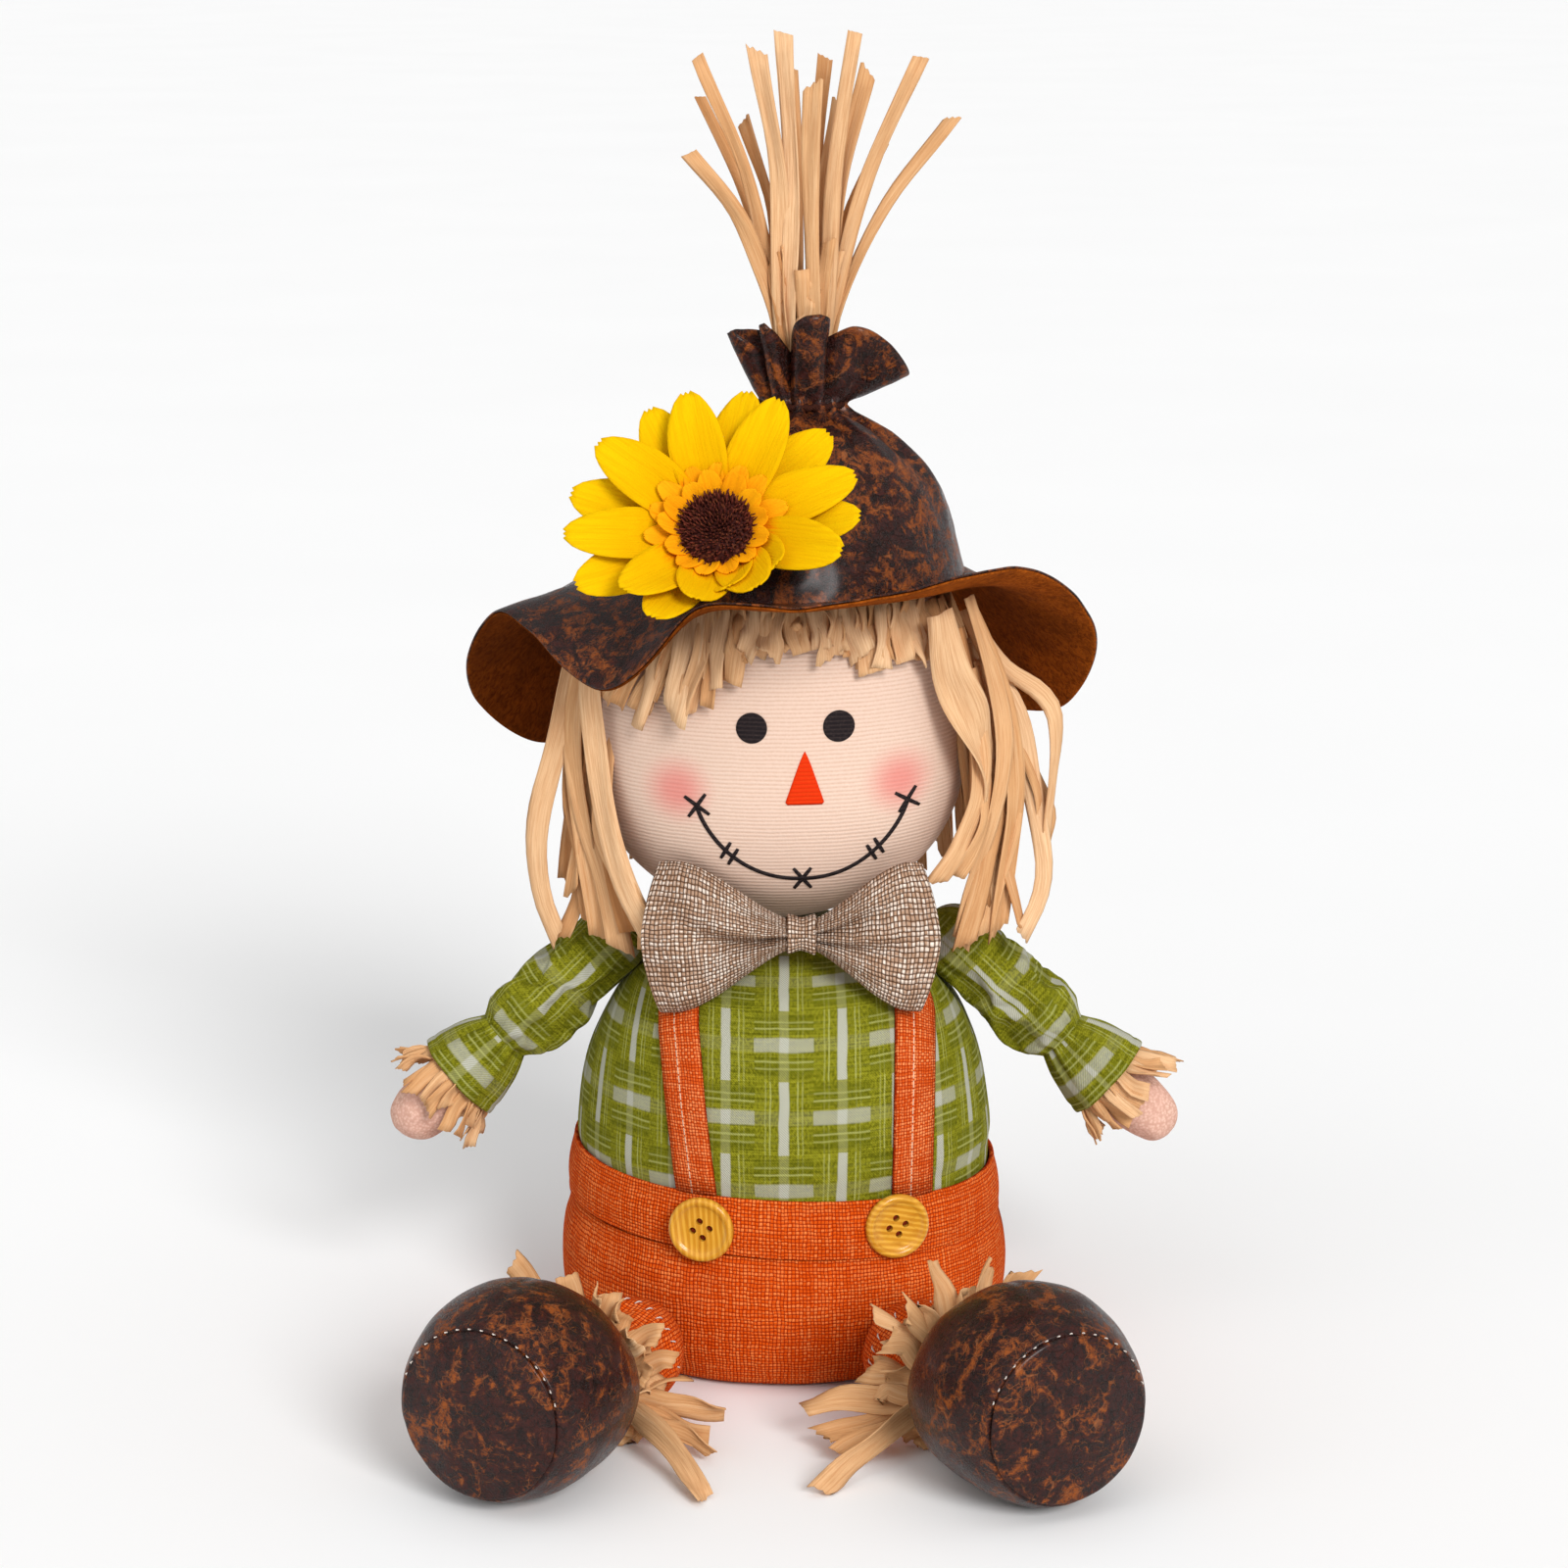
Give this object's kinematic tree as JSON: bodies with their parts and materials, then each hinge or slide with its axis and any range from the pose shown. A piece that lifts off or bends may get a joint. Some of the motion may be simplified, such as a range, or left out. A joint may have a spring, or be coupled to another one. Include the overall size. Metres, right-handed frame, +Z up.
{
  "type": "scarecrow figure",
  "caption": "Seated stuffed scarecrow figure with a raffia-topped leather-look hat, sunflower, burlap bow tie, plaid shirt, orange dungarees and round boots, for autumn display.",
  "frame": {"origin": "centre of the flat base panel, on the surface the figure sits on", "axes": "+Z up, -Y towards the viewer (the face), +X towards the picture's right"},
  "size_m": [0.2438, 0.2611, 0.4012],
  "materials": {
    "stuffing": "loose polyester fibre",
    "ballast": "cloth bag of plastic pellets",
    "trouser_cloth": "coarse plain-woven orange cloth",
    "shirt_cloth": "printed green plaid cotton",
    "strap_cloth": "coarse orange cloth with a white running stitch",
    "button": "golden wood-look resin, gloss",
    "burlap": "open plain-woven jute",
    "face_knit": "ribbed peach knit with a printed face",
    "hat_leather": "dark mottled faux leather, glossy, suede underside",
    "tie_cord": "dark cord",
    "raffia": "straw-coloured paper raffia",
    "petal": "yellow petal cloth",
    "floret": "golden orange petal cloth",
    "flower_centre": "dark bristly pile",
    "flower_backing": "green moulded calyx",
    "elastic": "narrow elastic",
    "hand_knit": "peach brushed knit",
    "shoe_leather": "dark mottled faux leather, glossy"
  },
  "bodies": {
    "torso": {"base_panel": "trouser_cloth", "ballast_bag": "ballast", "torso_stuffing": "stuffing", "trousers": "trouser_cloth", "waistband": "trouser_cloth", "shirt": "shirt_cloth", "strap_left": "strap_cloth", "strap_right": "strap_cloth", "button_left": "button", "button_right": "button", "bow_tie_wings": "burlap", "bow_tie_knot": "burlap", "head_cover": "face_knit", "head_stuffing": "stuffing", "hat_crown": "hat_leather", "hat_brim": "hat_leather", "hat_tie": "tie_cord", "raffia_tuft": "raffia", "hair_fringe": "raffia", "hair_left": "raffia", "hair_right": "raffia", "hair_back": "raffia", "sunflower_petals_front": "petal", "sunflower_petals_back": "petal", "sunflower_florets": "floret", "sunflower_centre": "flower_centre", "sunflower_backing": "flower_backing"},
    "arm_left": {"arm_left_sleeve": "shirt_cloth", "arm_left_stuffing": "stuffing", "arm_left_elastic": "elastic", "arm_left_cuff": "shirt_cloth", "arm_left_hand": "hand_knit", "arm_left_raffia": "raffia"},
    "leg_left": {"leg_left_cover": "trouser_cloth", "leg_left_stuffing": "stuffing", "leg_left_shoe_upper": "shoe_leather", "leg_left_shoe_sole": "shoe_leather", "leg_left_shoe_stuffing": "stuffing", "leg_left_raffia": "raffia"},
    "arm_right": {"arm_right_sleeve": "shirt_cloth", "arm_right_stuffing": "stuffing", "arm_right_elastic": "elastic", "arm_right_cuff": "shirt_cloth", "arm_right_hand": "hand_knit", "arm_right_raffia": "raffia"},
    "leg_right": {"leg_right_cover": "trouser_cloth", "leg_right_stuffing": "stuffing", "leg_right_shoe_upper": "shoe_leather", "leg_right_shoe_sole": "shoe_leather", "leg_right_shoe_stuffing": "stuffing", "leg_right_raffia": "raffia"}
  },
  "joints": [
    {"name": "arm_left_raise", "type": "hinge", "parent": "torso", "child": "arm_left", "pos_m": [-0.0528, 0, 0.1246], "axis": [0, 1, 0], "range_deg": [-5, 28]},
    {"name": "arm_right_raise", "type": "hinge", "parent": "torso", "child": "arm_right", "pos_m": [0.0528, 0, 0.1246], "axis": [0, -1, 0], "range_deg": [-5, 28]},
    {"name": "leg_left_raise", "type": "hinge", "parent": "torso", "child": "leg_left", "pos_m": [-0.0455, -0.073, 0.0176], "axis": [-1, 0, 0], "range_deg": [-15, 30]},
    {"name": "leg_right_raise", "type": "hinge", "parent": "torso", "child": "leg_right", "pos_m": [0.0395, -0.076, 0.0176], "axis": [-1, 0, 0], "range_deg": [-15, 30]}
  ]
}
